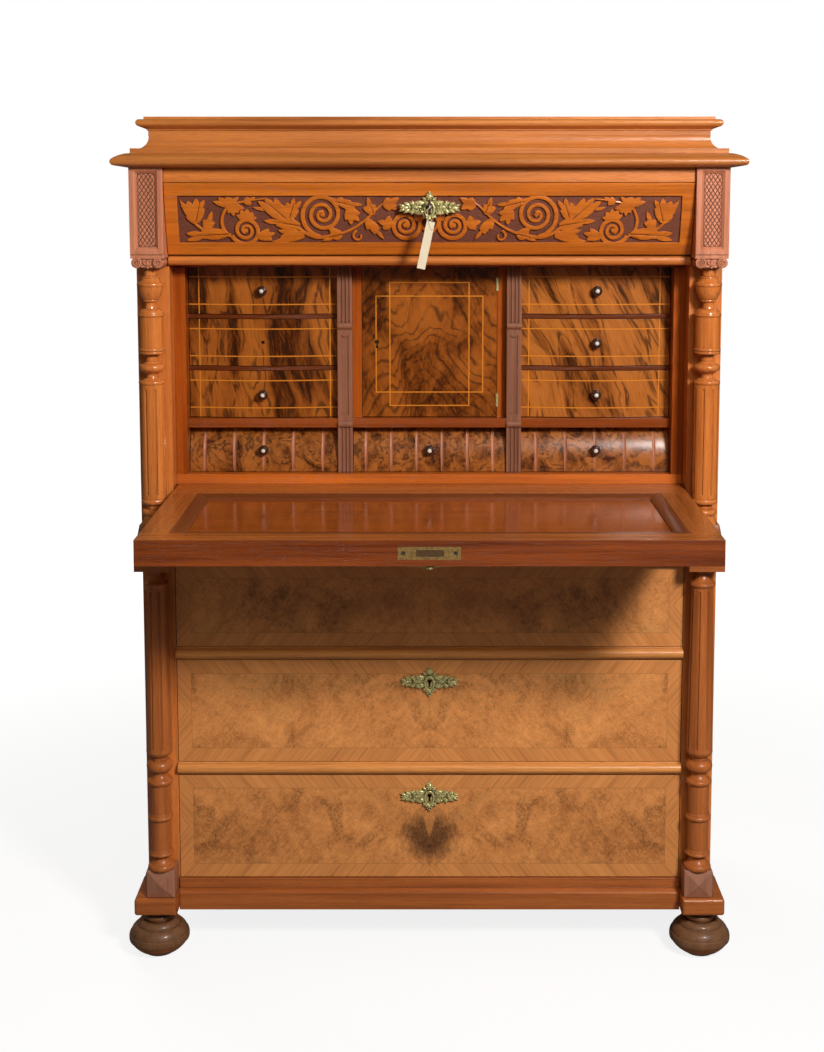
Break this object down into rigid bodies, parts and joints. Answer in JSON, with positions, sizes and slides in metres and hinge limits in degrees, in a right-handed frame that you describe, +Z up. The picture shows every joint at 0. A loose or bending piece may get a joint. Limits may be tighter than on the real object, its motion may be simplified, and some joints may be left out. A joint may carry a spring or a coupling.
{
  "type": "fall-front secretary desk",
  "caption": "Walnut drop-front secretary with a pivoted writing fall, nest of small drawers, long drawers, turned columns, carved frieze drawer and stepped cornice.",
  "frame": {"origin": "on the floor, at the centre of the footprint with the fall open", "axes": "+Z up, -Y towards the sitter, +X to the sitter's right"},
  "size_m": [1.073, 0.835, 1.476],
  "materials": {
    "walnut": "french polish",
    "red_walnut": "french polish",
    "dark_walnut": "polish",
    "plum_walnut": "matt",
    "burr_veneer": "satin polish",
    "nest_veneer": "gloss polish",
    "polished_panel": "gloss polish",
    "drawer_lining": "bare",
    "brass": "aged",
    "steel": "worn",
    "card": "matt paper"
  },
  "bodies": {
    "carcass": {"case_sides": "walnut", "front_stiles": "walnut", "back_boards": "drawer_lining", "dust_boards": "drawer_lining", "bun_feet": "dark_walnut", "plinth_blocks": "walnut", "base_rail": "walnut", "drawer_rails": "walnut", "waist_rail": "walnut", "column_dies": "walnut", "lower_columns": "walnut", "upper_columns": "walnut", "capitals": "walnut", "frieze_blocks": "walnut", "frieze_rails": "walnut", "cornice_bed": "walnut", "cornice_cove": "walnut", "cornice_crown": "walnut", "nest_case": "walnut", "nest_pilasters": "plum_walnut", "fixed_hinge_parts": "brass"},
    "fall_front": {"fall_frame": "red_walnut", "writing_panel": "polished_panel", "fall_moulding": "dark_walnut", "fall_lock": "brass", "fall_pivots": "brass"},
    "low_drawer": {"low_drawer_front": "burr_veneer", "low_drawer_box": "drawer_lining", "low_drawer_lock": "brass"},
    "middle_drawer": {"middle_drawer_front": "burr_veneer", "middle_drawer_box": "drawer_lining", "middle_drawer_lock": "brass"},
    "top_drawer": {"top_drawer_front": "burr_veneer", "top_drawer_box": "drawer_lining"},
    "frieze_drawer": {"frieze_drawer_front": "walnut", "frieze_drawer_box": "drawer_lining", "frieze_drawer_lock": "brass"},
    "lower_left_drawer": {"lower_left_drawer": "nest_veneer", "lower_left_knob": "dark_walnut"},
    "middle_left_drawer": {"middle_left_drawer": "nest_veneer"},
    "upper_left_drawer": {"upper_left_drawer": "nest_veneer", "upper_left_knob": "dark_walnut"},
    "lower_right_drawer": {"lower_right_drawer": "nest_veneer", "lower_right_knob": "dark_walnut"},
    "middle_right_drawer": {"middle_right_drawer": "nest_veneer", "middle_right_knob": "dark_walnut"},
    "upper_right_drawer": {"upper_right_drawer": "nest_veneer", "upper_right_knob": "dark_walnut"},
    "base_left_drawer": {"base_left_drawer": "nest_veneer", "base_left_knob": "dark_walnut"},
    "base_centre_drawer": {"base_centre_drawer": "nest_veneer", "base_centre_knob": "dark_walnut"},
    "base_right_drawer": {"base_right_drawer": "nest_veneer", "base_right_knob": "dark_walnut"},
    "cupboard_door": {"cupboard_door": "nest_veneer", "door_fittings": "brass"},
    "key": {"key": "steel"},
    "lock_bolt": {"lock_bolt": "steel"},
    "key_tag": {"key_tag": "card"}
  },
  "joints": [
    {"name": "fall_hinge", "type": "hinge", "parent": "carcass", "child": "fall_front", "pos_m": [0, -0.0125, 0.816], "axis": [1, 0, 0], "range_deg": [-90, 0]},
    {"name": "low_drawer_slide", "type": "slide", "parent": "carcass", "child": "low_drawer", "axis": [0, -1, 0], "range_m": [0, 0.28]},
    {"name": "middle_drawer_slide", "type": "slide", "parent": "carcass", "child": "middle_drawer", "axis": [0, -1, 0], "range_m": [0, 0.28]},
    {"name": "top_drawer_slide", "type": "slide", "parent": "carcass", "child": "top_drawer", "axis": [0, -1, 0], "range_m": [0, 0.28]},
    {"name": "frieze_drawer_slide", "type": "slide", "parent": "carcass", "child": "frieze_drawer", "axis": [0, -1, 0], "range_m": [0, 0.28]},
    {"name": "lower_left_drawer_slide", "type": "slide", "parent": "carcass", "child": "lower_left_drawer", "axis": [0, -1, 0], "range_m": [0, 0.22]},
    {"name": "middle_left_drawer_slide", "type": "slide", "parent": "carcass", "child": "middle_left_drawer", "axis": [0, -1, 0], "range_m": [0, 0.22]},
    {"name": "upper_left_drawer_slide", "type": "slide", "parent": "carcass", "child": "upper_left_drawer", "axis": [0, -1, 0], "range_m": [0, 0.22]},
    {"name": "lower_right_drawer_slide", "type": "slide", "parent": "carcass", "child": "lower_right_drawer", "axis": [0, -1, 0], "range_m": [0, 0.22]},
    {"name": "middle_right_drawer_slide", "type": "slide", "parent": "carcass", "child": "middle_right_drawer", "axis": [0, -1, 0], "range_m": [0, 0.22]},
    {"name": "upper_right_drawer_slide", "type": "slide", "parent": "carcass", "child": "upper_right_drawer", "axis": [0, -1, 0], "range_m": [0, 0.22]},
    {"name": "base_left_drawer_slide", "type": "slide", "parent": "carcass", "child": "base_left_drawer", "axis": [0, -1, 0], "range_m": [0, 0.22]},
    {"name": "base_centre_drawer_slide", "type": "slide", "parent": "carcass", "child": "base_centre_drawer", "axis": [0, -1, 0], "range_m": [0, 0.22]},
    {"name": "base_right_drawer_slide", "type": "slide", "parent": "carcass", "child": "base_right_drawer", "axis": [0, -1, 0], "range_m": [0, 0.22]},
    {"name": "door_hinge", "type": "hinge", "parent": "carcass", "child": "cupboard_door", "pos_m": [0.11965, 0.0425, 1.0847], "axis": [0, 0, 1], "range_deg": [0, 90]},
    {"name": "key_turn", "type": "hinge", "parent": "frieze_drawer", "child": "key", "pos_m": [0, -0.106, 1.325], "axis": [0, -1, 0], "range_deg": [0, 90]},
    {"name": "bolt_throw", "type": "slide", "parent": "frieze_drawer", "child": "lock_bolt", "axis": [0, 0, 1], "range_m": [0, 0.008]},
    {"name": "tag_swing", "type": "hinge", "parent": "key", "child": "key_tag", "pos_m": [0, -0.106, 1.325], "axis": [0, -1, 0], "range_deg": [-90, 0]}
  ],
  "couplings": [
    {"joint": "key_turn", "follows": "bolt_throw", "rad_per_m": 196.35},
    {"joint": "tag_swing", "follows": "bolt_throw", "rad_per_m": -196.35}
  ]
}
